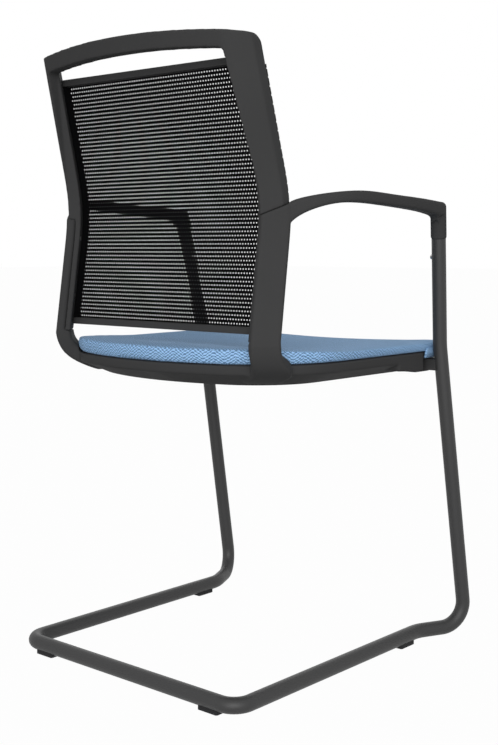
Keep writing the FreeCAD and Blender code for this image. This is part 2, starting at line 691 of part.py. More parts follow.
def make_back_frame():
    """The one-piece back: the arched rail, the hand slot under it and the two blades."""
    low = BLADE_BOTTOM + JOINT_GAP
    deep = CUT_REACH
    body = loft([panel_wire(z) for z in back_heights(low, RAIL_TOP + RAIL_RISE)])
    reach_low = blade_inner(low).x + BLADE_LENGTH
    tip_reach = ALONG.x * BLADE_LENGTH + ACROSS.x * BLADE_THICKNESS / 2
    reach_high = blade_inner(RAIL_TOP).x + tip_reach - RAIL_TRIM
    outer = arch_block(reach_low, reach_high, low - SEAT_GAP, RAIL_TOP, RAIL_RISE, OUTER_CORNER, deep)
    body = body.common(outer)
    for _, sign in SIDES:
        body = body.common(side(wing_block(), sign))
    slot_top = RAIL_TOP - RAIL_HEIGHT
    opening_wires = []
    for z in back_heights(low - BLADE_LENGTH, slot_top + BLADE_LENGTH):
        inner = blade_inner(z)
        near = inner - ACROSS * BLADE_LENGTH
        far = inner + ACROSS * (2 * BLADE_LENGTH)
        opening_wires.append(wire_of([V(-near.x, near.y, z), near, far, V(-far.x, far.y, z)]))
    half_slot = blade_inner(slot_top).x
    wide = half_slot + BLADE_LENGTH
    window = arch_block(wide, half_slot, low - BLADE_LENGTH, slot_top, SLOT_RISE, SLOT_CORNER, deep)
    body = body.cut(loft(opening_wires).common(window))
    for _, sign in SIDES:
        body = body.cut(side(clad_zone(), sign))
        for z in clad_screw_heights():
            seat = clad_screw_seat(z)
            head = head_hole(seat, ACROSS, SCREW_HEAD_DIAMETER / 2, BLADE_THICKNESS)
            shank = screw_hole(seat, ACROSS, BLADE_LENGTH)
            body = body.cut(side(head, sign)).cut(side(shank, sign))
    return body


def clad_screw_heights():
    """The heights of the two screws that hold a blade to its cladding."""
    return (BOTTOM_BAR + CLAD_SCREW_INSET, LUMBAR_HEIGHT - CLAD_SCREW_INSET)


def clad_screw_seat(z):
    """Where such a screw's head bears, sunk into the blade's front face."""
    return blade_inner(z) + ALONG * (BLADE_LENGTH / 3) + ACROSS * (SCREW_HEAD_HEIGHT + CLAD_SCREW_SINK)


def make_clad_screw(z):
    """A screw through the blade into its cladding."""
    return wood_screw(clad_screw_seat(z), ACROSS, CORE_THICKNESS - SCREW_HEAD_HEIGHT + SCREW_BITE)


def net_back(z):
    """Y of the net's rear face at a height: just in front of the blades' rounded tips."""
    round_end = BLADE_THICKNESS / 2
    tip = blade_inner(z) + ALONG * (BLADE_LENGTH - round_end) + ACROSS * round_end
    return tip.y - round_end - SEAT_GAP


def net_openings():
    """A plain grid of openings between the blades and the bars, in place of the net's fine holes."""
    half = BACK_HALF_HIGH - NET_BORDER
    low = BOTTOM_BAR + BAR_HEIGHT + NET_BORDER
    wide = (2 * half + NET_RIB) / NET_COLUMNS
    tall = (TOP_BAR - NET_BORDER - low + NET_RIB) / NET_ROWS
    holes = []
    for column in range(NET_COLUMNS):
        for row in range(NET_ROWS):
            corner = V(column * wide - half, -CUT_REACH, low + row * tall)
            holes.append(Part.makeBox(wide - NET_RIB, 2 * CUT_REACH, tall - NET_RIB, corner))
    return Part.makeCompound(holes)


def make_back_net():
    """The stretched net as a thin curved sheet, with a coarse grid in place of its fine weave."""
    wires = []
    for z in back_heights(BOTTOM_BAR, TOP_BAR + BAR_HEIGHT):
        half = blade_inner(z).x + ALONG.x * BLADE_LENGTH + NET_OVERHANG
        rear = net_back(z)
        front = rear - NET_THICKNESS
        rows = ((-half, rear), (half, rear), (half, front), (-half, front))
        wires.append(wire_of([V(x, y, z) for x, y in rows]))
    return loft(wires).cut(net_openings())


def make_net_bar(bottom):
    """A bar across the back behind the net, its ends seated on the blades' slanted front faces."""
    wires = []
    for z in (bottom, bottom + BAR_HEIGHT):
        front = net_back(z) + SEAT_GAP
        rear = front + BAR_DEPTH
        inner = blade_inner(z)
        spread = ALONG.x / -ALONG.y
        front_half = inner.x + (inner.y - front) * spread - JOINT_GAP
        rear_half = inner.x + (inner.y - rear) * spread - JOINT_GAP
        rows = ((-front_half, front), (front_half, front), (rear_half, rear), (-rear_half, rear))
        wires.append(wire_of([V(x, y, z) for x, y in rows]))
    return loft(wires, True)


def make_net_strip():
    """The strip on a blade's front face that the net's side edge is bonded to, on the left."""
    wires = []
    low = BOTTOM_BAR + BAR_HEIGHT + JOINT_GAP
    high = TOP_BAR - JOINT_GAP
    for z in back_heights(low, high):
        inner = blade_inner(z) - ACROSS * (2 * SEAT_GAP)
        outer_end = inner + ALONG * (BLADE_LENGTH - BLADE_THICKNESS / 2)
        inner_end = outer_end - ALONG * STRIP_WIDTH
        front = net_back(z) + SEAT_GAP
        wires.append(wire_of([inner_end, outer_end, V(outer_end.x, front, z), V(inner_end.x, front, z)]))
    return loft(wires)


# Side mouldings

def skin_wire(z):
    """The cladding's outline in plan at a height."""
    centre = blade_inner(z) + ALONG * (BLADE_LENGTH / 2)
    centre = centre + ACROSS * (CORE_THICKNESS + JOINT_GAP + SKIN_THICKNESS / 2)
    return rounded_wire(centre, ALONG, ACROSS, BLADE_LENGTH, SKIN_THICKNESS, ARM_CORNER)


def foot_start():
    """The middle of the moulding where it begins to curve in towards the seat pan."""
    return blade_inner(BLADE_BOTTOM) + ALONG * (BLADE_LENGTH / 2) + ACROSS * (FOOT_THICKNESS / 2)


def make_foot():
    """The foot under the cladding, curving in under the seat pan's rim and spreading along it."""
    start = foot_start()
    wires = []
    for share, draw, spread in FOOT_STATIONS:
        angle = math.radians(FOOT_TURN) * share
        centre = start - ACROSS * (FOOT_RADIUS * (1 - math.cos(angle)))
        centre = centre - UP * (FOOT_RADIUS * math.sin(angle)) + ALONG * ((draw + spread) / 2)
        thick_way = ACROSS * math.cos(angle) - UP * math.sin(angle)
        width = BLADE_LENGTH - draw + spread
        wires.append(rounded_wire(centre, ALONG, thick_way, width, FOOT_THICKNESS, ARM_CORNER))
    # It ends just proud of the pan's sloping underside
    last = start + ACROSS * (FOOT_THICKNESS / 2 - FOOT_REACH)
    inset = SEAT_CORNER_RADIUS - (last - seat_corner(last.z)).Length
    slope = (RIM_BOTTOM - PAN_BOTTOM) / UNDERSIDE_INSET
    last.z = RIM_BOTTOM - (inset - RIM_DRAFT) * slope - FOOT_LAP + FOOT_END_HEIGHT / 2
    last = last + ALONG * ((draw + spread) / 2)
    wires.append(rounded_wire(last, ALONG, UP * -1, width, FOOT_END_HEIGHT, ARM_CORNER))
    return loft(wires)


def arm_axis():
    """The upward direction of the upper tube, on the left."""
    return V(UPPER_FLARE, UPPER_LEAN, 1).normalize()


def arm_screw_way():
    """The way an arm screw points: outward, square to the upper tube."""
    return V(1, 0, -UPPER_FLARE).normalize()


def arm_screw_seat():
    """Where the head of an arm screw bears on the inner side of the tube, on the left."""
    return upper_point(TUBE_TOP - SPIGOT_LENGTH / 2) - arm_screw_way() * TUBE_RADIUS


def make_arm_screw():
    """The screw through the tube into the arm's spigot."""
    return wood_screw(arm_screw_seat(), arm_screw_way(), TUBE_WALL + SCREW_BITE)


def arm_stations():
    """The middle of the arm, its plan direction, height and width, from the blade to the tube."""
    root_top = SEAM_OUTER - ARM_ROOT_DROP
    end_top = TUBE_TOP + ARM_END_RISE
    inner = blade_inner(root_top)
    root = inner + ALONG * (BLADE_LENGTH - ARM_ROOT_INSET) + ACROSS * (FOOT_THICKNESS - ARM_ROOT_WIDTH / 2)
    end = upper_point(end_top)
    middles = []
    for share, bow, lift, height, _ in ARM_STATIONS:
        top = root_top + (end_top - root_top) * share + lift
        x = root.x + (end.x - root.x) * share + bow
        y = root.y + (end.y - root.y) * share
        middles.append(V(x, y, top - height / 2))
    ways = [ALONG]
    for before, after in zip(middles, middles[2:] + middles[-1:]):
        way = after - before
        ways.append(V(way.x, way.y, 0).normalize())
    return [(m, w, row[3], row[4]) for m, w, row in zip(middles, ways, ARM_STATIONS)]


def blade_core(gap):
    """The bare blade beside the arm's root and the core under the seam, grown by a gap, on the left."""
    wires = []
    for z in back_heights(SEAM_INNER - 2 * BLADE_LENGTH, SEAM_OUTER + BLADE_LENGTH, CORE_SECTIONS):
        centre = blade_inner(z) + ALONG * (BLADE_LENGTH / 2) + ACROSS * (BLADE_THICKNESS / 2)
        length = BLADE_LENGTH + 2 * gap
        thickness = BLADE_THICKNESS + 2 * gap
        wires.append(rounded_wire(centre, ALONG, ACROSS, length, thickness, thickness / 2))
    return loft(wires).cut(clad_zone())


def make_arm():
    """The pieces of the arm: its bowed bar, the turned-down end, the spigot and the web under the end."""
    stations = arm_stations()
    wires = []
    for middle, way, height, width in stations:
        wires.append(rounded_wire(middle, V(-way.y, way.x, 0), UP, width, height, ARM_CORNER))
    bar = loft(wires).cut(blade_core(JOINT_GAP))
    axis = arm_axis()
    radius = ARM_WIDTH / 2
    shoulder = upper_point(TUBE_TOP) + axis * JOINT_GAP
    drop = Part.makeCylinder(radius, ARM_END_RISE, shoulder, axis)
    top_edges = [e for e in drop.Edges if e.BoundBox.ZMin > TUBE_TOP + ARM_END_RISE / 2]
    drop = drop.makeFillet(ARM_END_ROUND, top_edges)
    spigot_radius = BORE_RADIUS - HOLE_GAP
    spigot = Part.makeCylinder(spigot_radius, SPIGOT_LENGTH + radius, shoulder + axis * radius, axis * -1)
    middle, way, height, _ = stations[-1]
    corner = middle - way * (radius - ARM_FILLET_LAP) - UP * (height / 2 - ARM_FILLET_LAP)
    back = corner - way * ARM_FILLET
    low = corner - UP * ARM_FILLET
    bulge = back + low - corner + (way + UP) * (ARM_FILLET * math.sqrt(0.5))
    outline = Part.Wire([
        Part.LineSegment(corner, back).toShape(),
        Part.Arc(back, bulge, low).toShape(),
        Part.LineSegment(low, corner).toShape(),
    ])
    beside = V(-way.y, way.x, 0) * (radius - ARM_CORNER)
    outline.translate(beside * -1)
    return [bar, drop, spigot, prism(outline, beside * 2)]


def make_side_moulding():
    """The arm, the cladding of the blade under it and the foot, in one moulding, on the left."""
    skin_low = BLADE_BOTTOM - ARM_CORNER
    skin = loft([skin_wire(z) for z in back_heights(skin_low, SEAM_OUTER + FOOT_THICKNESS, SKIN_SECTIONS)])
    skin = skin.common(seam_block(skin_low - SEAT_GAP, 0))
    foot = make_foot().cut(pan_outside(JOINT_GAP))
    over_rim = prism(seat_wire(PAN_TOP, -CUSHION_GAP, PAN_FRONT, PAN_EDGE), UP * FOOT_END_HEIGHT)
    foot = foot.cut(over_rim)
    body = skin.fuse([foot] + make_arm())
    body = body.cut(screw_hole(arm_screw_seat(), arm_screw_way(), TUBE_WALL + SCREW_BITE))
    for z in clad_screw_heights():
        reach = CORE_THICKNESS - SCREW_HEAD_HEIGHT + SCREW_BITE
        body = body.cut(screw_hole(clad_screw_seat(z), ACROSS, reach))
    seat, direction = foot_screw(1)
    return body.cut(screw_hole(seat, direction, PAN_WALL + SCREW_BITE))


def make_foot_screw(sign):
    """The screw through the pan's wall into a foot."""
    seat, direction = foot_screw(sign)
    return wood_screw(seat, direction, PAN_WALL + SCREW_BITE)


def build():
    """Every piece by name."""
    parts = {"sled_frame": make_sled_frame(), "seat_cross_rail": make_cross_rail()}
    names = ("rear_left", "rear_right", "front_left", "front_right")
    for name, (x, y, along_runner) in zip(names, glide_places()):
        parts["glide_" + name] = make_glide(x, y, along_runner)
        parts["glide_pin_" + name] = make_glide_pin(x, y)
    parts["seat_pan"] = make_seat_pan()
    parts["seat_board"] = make_seat_board()
    parts["seat_cushion"] = make_seat_cushion()
    for name, (x, y) in zip(names, pan_screws()):
        parts["pan_screw_" + name] = make_pan_screw(x, y)
    parts["back_frame"] = make_back_frame()
    parts["back_net"] = make_back_net()
    parts["net_bar_top"] = make_net_bar(TOP_BAR)
    parts["net_bar_bottom"] = make_net_bar(BOTTOM_BAR)
    moulding = make_side_moulding()
    strip = make_net_strip()
    for (name, sign), (x, y) in zip(SIDES, rail_screws()):
        parts["side_moulding_" + name] = side(moulding, sign)
        parts["net_strip_" + name] = side(strip, sign)
        parts["rail_screw_" + name] = make_rail_screw(x, y)
        parts["arm_screw_" + name] = side(make_arm_screw(), sign)
        parts["foot_screw_" + name] = make_foot_screw(sign)
        for level, z in zip(("low", "high"), clad_screw_heights()):
            parts["clad_screw_" + level + "_" + name] = side(make_clad_screw(z), sign)
    return parts


def middle_y():
    """Y midway between the chair's rear, the rail or the crossbar, and the front of the feet."""
    rear = max(panel_wire(RAIL_TOP).BoundBox.YMax, TUBE_RADIUS)
    front = min(p.y for p in sled_path().discretize(Number=4000)) - TUBE_RADIUS
    return (rear + front) / 2


def main():
    """Write each piece to its own file, moved to the model's origin."""
    os.makedirs("parts", exist_ok=True)
    shift = V(0, -middle_y(), 0)
    print("shift", round(shift.y, 3))
    for name, shape in build().items():
        moved = shape.copy()
        moved.translate(shift)
        if not moved.isValid() or len(moved.Solids) != 1:
            print("check", name, moved.isValid(), len(moved.Solids))
        moved.exportStep("parts/" + name + ".step")


main()
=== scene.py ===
"""The looks of a conference chair: moulded plastic, a powder coated tube, a net and a padded seat.

Metres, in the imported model's frame: X to the sitter's left, the chair faces -Y, +Z up, floor at Z = 0.
"""
import json
import math

import bmesh
import bpy
from bmesh.types import BMEdge, BMVert
from bpy.props import FloatProperty, FloatVectorProperty, IntProperty, PointerProperty
from bpy.types import Operator, Panel, PropertyGroup
from mathutils import Matrix, Vector
from mathutils.bvhtree import BVHTree
from mathutils.kdtree import KDTree


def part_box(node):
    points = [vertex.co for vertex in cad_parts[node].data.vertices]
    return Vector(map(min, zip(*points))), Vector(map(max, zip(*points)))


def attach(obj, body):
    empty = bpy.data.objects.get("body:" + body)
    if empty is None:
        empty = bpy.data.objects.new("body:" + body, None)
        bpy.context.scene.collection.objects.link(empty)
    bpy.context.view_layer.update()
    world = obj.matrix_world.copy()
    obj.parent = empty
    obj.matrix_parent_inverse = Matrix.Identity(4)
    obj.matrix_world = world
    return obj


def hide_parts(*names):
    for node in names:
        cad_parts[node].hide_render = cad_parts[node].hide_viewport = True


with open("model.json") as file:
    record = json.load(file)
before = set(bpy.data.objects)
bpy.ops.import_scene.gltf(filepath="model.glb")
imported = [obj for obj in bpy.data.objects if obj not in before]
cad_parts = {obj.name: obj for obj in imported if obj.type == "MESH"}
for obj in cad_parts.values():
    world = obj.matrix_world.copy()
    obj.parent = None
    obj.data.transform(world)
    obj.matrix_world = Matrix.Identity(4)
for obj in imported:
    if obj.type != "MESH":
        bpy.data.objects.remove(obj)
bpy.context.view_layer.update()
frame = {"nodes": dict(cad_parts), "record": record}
CUSHION_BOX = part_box("seat_cushion")
NET_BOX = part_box("back_net")
PAN_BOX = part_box("seat_pan")

bl_info = {
    "name": "Conference chair",
    "version": (1, 0, 0),
    "blender": (4, 5, 0),
    "location": "3D View > Sidebar > Chair",
    "description": "Builds the visible pieces of a conference chair round its packed frame",
    "category": "Object",
}

# Where the photograph was taken from: place, heading and lens
CAMERA_PLACE = Vector((-1.27284, 1.427186, 0.62035))
CAMERA_HEADING = math.radians(-48.731)
CAMERA_LENS = 58.226
CAMERA_SHIFT = -0.16754
CAMERA_SENSOR = 36.0
CAMERA_NEAR = 0.05

# The stage: the floor's half width, how near to plain white it looks, and the world's light
WHITE = (1.0, 1.0, 1.0, 1.0)
FLOOR_REACH = 30.0
FLOOR_WHITE = 0.98
WORLD_LIGHT = 0.5
# Where the lamps point, and each lamp's name, place, width and power
LAMP_TARGET = Vector((0.0, 0.0, 0.45))
LAMPS = (
    ("key_lamp", (-2.0, 2.5, 0.95), 2.6, 91.0),
    ("fill_lamp", (2.2, -2.4, 1.9), 2.2, 14.0),
)

# The mouldings: rounds of softening, and the share of the faces that is kept
SHELL_ROUNDS = 9
SHELL_KEEP = 0.7
BODY_ROUNDS = 6
BODY_KEEP = 0.35
# Further rounds for the arms and the pan from this far under the pan's rim downwards
LOW_ROUNDS = 24
LOW_START = 0.004

# The CAD net: its thickness, and the radius of its rear face round a blade's tip
CAD_NET_THICKNESS = 0.0012
TIP_RADIUS = 0.01005
# How far in from the CAD net's side edge its turn round the tip starts
TURN_INSET = 0.00113
# How far inside its edges the CAD net is probed
PROBE_INSET = 0.0006
# A band's width where a thread meets it and along a hole, as shares of its usual width
BAND_AT_THREAD = 1.42
BAND_AT_HOLE = 0.84
# Where a thread starts, from the band's middle, as a share of the band's width
THREAD_START = 0.4
# How far behind the bands' front the threads lie, and how much thinner they are
THREAD_SINK = 0.0002
THREAD_THINNER = 0.0003
# How many rows from the top the net's edges don't turn round the blades' tips
UNTURNED_ROWS = 2.6

# The cushion before it is trimmed: what it stands out past its CAD node, and how many times as high it is
PAD_OVERHANG = 0.0035
PAD_STRETCH = 1.45
# The height of its top over its foot, with a rise from Y = 0 to the rear and a dip in front
PAD_HEIGHT = 0.0128
REAR_RISE = 0.0085
REAR_LENGTH = 0.2
DIP_DEPTH = 0.0062
DIP_START = -0.05
DIP_LENGTH = 0.18
DIP_HALF_WIDTH = 0.21
# Rounds of softening of the trimmed cushion
PAD_ROUNDS = 2
# The pressure that blows it up, and the height up to which it is held down on the board
PAD_PRESSURE = 4.0
HELD_HEIGHT = 0.001

# How high over the cushion's foot its outline is read, and the step between the places marked on it
OUTLINE_HEIGHT = 0.009
MARK_STEP = 0.002
# From this upright share of its normal on, a face of the cushion takes the cloth's map from above
LEVEL_SHARE = 0.72
# How far the cloth's stitches lean, and the pitch and height of those across, as shares of theirs
STITCH_SLOPE = 0.62
CROSS_PITCH = 1.3
CROSS_SHARE = 0.55

# The hem: its top over the cushion's foot, its thickness and the step between its points
HEM_TOP = 0.006
HEM_THICKNESS = 0.0025
HEM_STEP = 0.004
# How far its lower edge is drawn in at the front and at the sides, and where the sides begin
HEM_FRONT_TUCK = 0.0015
HEM_SIDE_TUCK = 0.003
HEM_SIDE_START = 0.2
# How far it stays in front of the pan's rim, and the depth from its top at which the rim is looked for
HEM_CLEARANCE = 0.0005
RIM_DEPTH = 0.001


def colour(name, note, value):
    """A colour that a user can change, in linear values."""
    return FloatVectorProperty(
        name=name, description=note, subtype="COLOR", size=3, min=0.0, max=1.0, default=value
    )


def length(name, note, value):
    """A length that a user can change, in metres."""
    return FloatProperty(name=name, description=note, unit="LENGTH", precision=4, default=value)


class ChairColours(PropertyGroup):
    """The colours of the chair's finishes."""

    plastic: colour("Plastic", "The moulded back frame, arms and seat pan", (0.0425, 0.0425, 0.043))
    tube: colour("Tube", "The powder coat of the sled and the cross rail", (0.029, 0.029, 0.0295))
    net: colour("Net", "The yarn of the back's net", (0.0022, 0.0022, 0.0025))
    cloth: colour("Cloth", "The raised stitches of the seat's cloth", (0.38, 0.62, 0.93))
    cloth_shade: colour("Cloth shade", "The ground between the stitches", (0.085, 0.175, 0.32))
    rubber: colour("Rubber", "The glides under the sled", (0.008, 0.008, 0.009))
    # Near black: a dark stain, darkened further as painted shade for the seam between the cushion and the
    # pan
    board: colour("Board", "The stained plywood under the seat", (0.012, 0.012, 0.015))
    steel: colour("Steel", "The zinc plated screws and pins", (0.55, 0.55, 0.56))
    stage: colour("Stage", "The floor, as it lights the chair", (0.32, 0.32, 0.32))


class ChairSizes(PropertyGroup):
    """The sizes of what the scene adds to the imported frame."""

    row_pitch: length("Net row pitch", "From one band of the net to the next", 0.00595)
    column_pitch: length("Net column pitch", "From one thread of the net to the next", 0.0052)
    band_width: length("Net band width", "How wide the net's level bands are", 0.0041)
    thread_width: length("Net thread width", "How wide the net's upright threads are", 0.0032)
    net_thickness: length("Net thickness", "How thick the bands are", 0.0007)
    net_wrap: length("Net wrap", "How far the net turns round the blade's tip", 0.0032)
    plastic_voxel: length("Plastic voxel", "Mesh size of the rounded mouldings", 0.0016)
    cushion_voxel: length("Cushion voxel", "Mesh size of the cushion before it is blown up", 0.0046)
    cushion_cap: length("Cushion cap", "The most that the cushion may swell", 0.0018)
    hem_drop: length("Hem drop", "How far the cloth turns down round the board's front", 0.009)
    stitch_pitch: length("Stitch pitch", "From one slanted stitch of the cloth to the next", 0.0041)
    stitch_column: length("Stitch column", "The width of a column of stitches", 0.016)
    frames: IntProperty(name="Frames", description="Steps of the cushion's swelling", default=20, min=2)


class ChairSettings(PropertyGroup):
    """All that a user can change."""

    colours: PointerProperty(type=ChairColours)
    sizes: PointerProperty(type=ChairSizes)


# Shader nodes

def add(tree, kind, inputs=None, **settings):
    """A shader node with its settings, its inputs taken from values or from other nodes."""
    node = tree.nodes.new("ShaderNode" + kind)
    for key, value in settings.items():
        setattr(node, key, value)
    for key, value in (inputs or {}).items():
        if isinstance(value, bpy.types.NodeSocket):
            tree.links.new(value, node.inputs[key])
        else:
            node.inputs[key].default_value = value
    return node


def calc(tree, operation, *values):
    """The output of a Math node."""
    return add(tree, "Math", dict(enumerate(values)), operation=operation).outputs[0]


def spread(tree, value, low, high, start=0.0, end=1.0):
    """A value whose range from start to end is taken to the range from low to high."""
    inputs = {0: value, 1: start, 2: end, 3: low, 4: high}
    return add(tree, "MapRange", inputs).outputs[0]


def noise(tree, place, scale, detail, **inputs):
    """The value of a Noise texture, with its other inputs by their names."""
    inputs = {"Vector": place, "Scale": scale, "Detail": detail, **inputs}
    return add(tree, "TexNoise", inputs).outputs["Fac"]


def stripes(tree, value, pitch):
    """Waves a pitch apart along a value."""
    return calc(tree, "SINE", calc(tree, "MULTIPLY", value, math.tau / pitch))


def scaled(tone, factor=1.0):
    """A colour made lighter or darker, with its alpha."""
    return tuple(min(1.0, c * factor) for c in tone) + (1.0,)


def blend(tree, share, first, second):
    """A colour between two, by a share."""
    return add(tree, "Mix", {0: share, 6: first, 7: second}, data_type="RGBA").outputs[2]


def on_object(tree):
    """Places on the piece itself, for patterns that stay with it."""
    return add(tree, "TexCoord").outputs["Object"]


def start_finish(name, **sockets):
    """A new material with its uniform values on the shader's own sockets."""
    material = bpy.data.materials.new(name)
    material.use_nodes = True
    tree = material.node_tree
    shader = tree.nodes["Principled BSDF"]
    for key, value in sockets.items():
        shader.inputs[key.replace("_", " ")].default_value = value
    return material, tree, shader


def paint(tree, shader, tone, roughness):
    """Feed a shader its colour and its roughness."""
    tree.links.new(tone, shader.inputs["Base Color"])
    tree.links.new(roughness, shader.inputs["Roughness"])


def add_relief(tree, shader, height, strength, distance):
    """Bump from a height."""
    bump = add(tree, "Bump", {"Height": height, "Strength": strength, "Distance": distance})
    tree.links.new(bump.outputs["Normal"], shader.inputs["Normal"])


# Finishes

def plastic_finish(name, chair):
    """Dark matte moulded plastic: a fine spark eroded grain with paler specks, and faint flow marks."""
    tone = chair.colours.plastic
    material, tree, shader = start_finish(name, IOR=1.46, Specular_IOR_Level=0.12)
    place = on_object(tree)
    grain = noise(tree, place, 1500.0, 2.0, Roughness=0.6)
    pits = add(tree, "TexVoronoi", {"Vector": place, "Scale": 900.0}, feature="SMOOTH_F1")
    flow = noise(tree, place, 9.0, 3.0, Distortion=0.4)
    flow_share = spread(tree, flow, 0.0, 1.0, start=0.3, end=0.7)
    tint = blend(tree, flow_share, scaled(tone, 0.94), scaled(tone, 1.05))
    speck_share = spread(tree, grain, 0.0, 0.16, start=0.45, end=0.75)
    speck = blend(tree, speck_share, tint, scaled(tone, 1.3))
    paint(tree, shader, speck, spread(tree, flow, 0.76, 0.86, start=0.3, end=0.7))
    height = calc(tree, "ADD", grain, calc(tree, "MULTIPLY", pits.outputs["Distance"], 0.6))
    add_relief(tree, shader, height, strength=0.25, distance=0.00012)
    return material


def powder_finish(name, chair):
    """Powder coat on steel: an orange peel skin with a finer sparkle in its roughness."""
    tone = chair.colours.tube
    material, tree, shader = start_finish(name, IOR=1.5, Specular_IOR_Level=0.4)
    place = on_object(tree)
    peel = noise(tree, place, 420.0, 3.0, Roughness=0.55)
    dust = noise(tree, place, 2400.0, 1.0)
    drift = noise(tree, place, 5.0, 2.0)
    tint = blend(tree, drift, scaled(tone, 0.93), scaled(tone, 1.07))
    speck_share = spread(tree, dust, 0.0, 0.22, start=0.5, end=0.8)
    speck = blend(tree, speck_share, tint, scaled(tone, 1.7))
    paint(tree, shader, speck, spread(tree, dust, 0.42, 0.58))
    add_relief(tree, shader, peel, strength=0.35, distance=0.00025)
    return material


def net_finish(name, chair):
    """Black knitted yarn: twisted filaments with a faint dusty sheen."""
    tone = chair.colours.net
    material, tree, shader = start_finish(
        name, Specular_IOR_Level=0.04, Sheen_Weight=0.01, Sheen_Roughness=0.5
    )
    place = on_object(tree)
    twist = add(
        tree, "TexWave", {"Vector": place, "Scale": 320.0, "Distortion": 3.0, "Detail": 2.0},
        wave_type="BANDS", bands_direction="DIAGONAL",
    ).outputs["Fac"]
    fuzz = noise(tree, place, 3500.0, 2.0)
    tint = blend(tree, twist, scaled(tone, 0.7), scaled(tone, 1.6))
    paint(tree, shader, tint, spread(tree, fuzz, 0.7, 0.9))
    add_relief(tree, shader, twist, strength=0.6, distance=0.0002)
    return material


def cloth_finish(name, chair):
    """The seat's cloth: slanted raised stitches that turn at each column, on a darker ground."""
    tones, sizes = chair.colours, chair.sizes
    pitch = sizes.stitch_pitch
    material, tree, shader = start_finish(
        name, Specular_IOR_Level=0.08, Sheen_Weight=0.05, Sheen_Roughness=0.45
    )
    flat = add(tree, "UVMap", uv_map="Cloth").outputs["UV"]
    axes = add(tree, "SeparateXYZ", {0: flat})
    column = calc(tree, "PINGPONG", axes.outputs[0], sizes.stitch_column)
    turn = calc(tree, "MULTIPLY", column, STITCH_SLOPE)
    wobble = calc(tree, "SUBTRACT", noise(tree, flat, 160.0, 2.0), 0.5)
    shake = calc(tree, "MULTIPLY", wobble, pitch * 0.7)
    slant = calc(tree, "ADD", calc(tree, "ADD", axes.outputs[1], turn), shake)
    across = calc(tree, "ADD", calc(tree, "SUBTRACT", axes.outputs[1], turn), shake)
    cross = calc(tree, "MULTIPLY", stripes(tree, across, pitch * CROSS_PITCH), CROSS_SHARE)
    waves = calc(tree, "ADD", stripes(tree, slant, pitch), cross)
    stitch = spread(tree, waves, 0.0, 1.0, start=-1.1, end=0.9)
    fibre = noise(tree, flat, 2600.0, 2.0)
    drift = noise(tree, flat, 22.0, 3.0)
    body = blend(tree, stitch, scaled(tones.cloth_shade), scaled(tones.cloth))
    fleck = calc(tree, "MULTIPLY", spread(tree, fibre, 0.86, 1.12), spread(tree, drift, 0.94, 1.05))
    lit = add(tree, "VectorMath", {0: body, "Scale": fleck}, operation="SCALE").outputs[0]
    paint(tree, shader, lit, spread(tree, fibre, 0.78, 0.95))
    height = calc(tree, "ADD", stitch, calc(tree, "MULTIPLY", fibre, 0.3))
    add_relief(tree, shader, height, strength=0.55, distance=0.0007)
    return material


def rubber_finish(name, chair):
    """Black glides: dull, scuffed towards the floor."""
    tone = chair.colours.rubber
    material, tree, shader = start_finish(name, Specular_IOR_Level=0.25)
    place = on_object(tree)
    scuff = noise(tree, place, 260.0, 4.0)
    height = add(tree, "SeparateXYZ", {0: place}).outputs[2]
    worn = calc(tree, "MULTIPLY", spread(tree, height, 1.0, 0.0, start=0.0, end=0.004), scuff)
    tint = blend(tree, worn, scaled(tone), scaled(tone, 3.0))
    paint(tree, shader, tint, spread(tree, scuff, 0.6, 0.8))
    add_relief(tree, shader, scuff, strength=0.2, distance=0.0002)
    return material


def board_finish(name, chair):
    """Stained plywood, darkened to near black so that it also gives painted shade in the seam between the
    cushion and the pan: long grain on its faces and thin plies on its edges.
    """
    tone = chair.colours.board
    material, tree, shader = start_finish(name, Specular_IOR_Level=0.3)
    place = on_object(tree)
    stretched = add(tree, "Mapping", {"Vector": place, "Scale": (1.0, 9.0, 1.0)}).outputs[0]
    grain = noise(tree, stretched, 26.0, 5.0, Distortion=0.6)
    plies = add(
        tree, "TexWave", {"Vector": place, "Scale": 105.0, "Distortion": 0.3}, bands_direction="Z"
    ).outputs["Fac"]
    both = calc(tree, "MULTIPLY", grain, spread(tree, plies, 0.6, 1.0))
    tint = blend(tree, both, scaled(tone, 0.6), scaled(tone, 2.4))
    paint(tree, shader, tint, spread(tree, grain, 0.5, 0.75))
    add_relief(tree, shader, both, strength=0.3, distance=0.0003)
    return material


def steel_finish(name, chair):
    """Zinc plated steel: a spangled, slightly brushed skin."""
    tone = chair.colours.steel
    material, tree, shader = start_finish(name, Metallic=1.0)
    inputs = {"Vector": on_object(tree), "Scale": 700.0}
    spangle = add(tree, "TexVoronoi", inputs).outputs["Distance"]
    tint = blend(tree, spangle, scaled(tone, 0.85), scaled(tone, 1.1))
    paint(tree, shader, tint, spread(tree, spangle, 0.28, 0.42))
    return material


# Each slot's material and what makes it
FINISHES = {
    "plastic": ("moulded_plastic", plastic_finish),
    "tube": ("powder_coat", powder_finish),
    "net": ("net_yarn", net_finish),
    "net_edge": ("net_yarn", net_finish),
    "upholstery": ("seat_cloth", cloth_finish),
    "glide": ("glide_rubber", rubber_finish),
    "board": ("stained_plywood", board_finish),
    "steel": ("zinc_plate", steel_finish),
}


def finish_of(slot):
    """The material of a slot, made for the first piece that needs it and shared by the rest."""
    name, make = FINISHES[slot]
    return bpy.data.materials.get(name) or make(name, bpy.context.scene.chair)


# Meshes

def everything(shape):
    """All the points, edges and faces of a bmesh."""
    return list(shape.verts) + list(shape.edges) + list(shape.faces)


def only(kind, items):
    """Those of a bmesh operator's items that are of one kind."""
    return [item for item in items if isinstance(item, kind)]


def node_copy(*nodes):
    """A bmesh of CAD nodes with their loose triangles joined."""
    shape = bmesh.new()
    for node in nodes:
        shape.from_mesh(frame["nodes"][node].data)
    bmesh.ops.remove_doubles(shape, verts=shape.verts, dist=1e-6)
    return shape


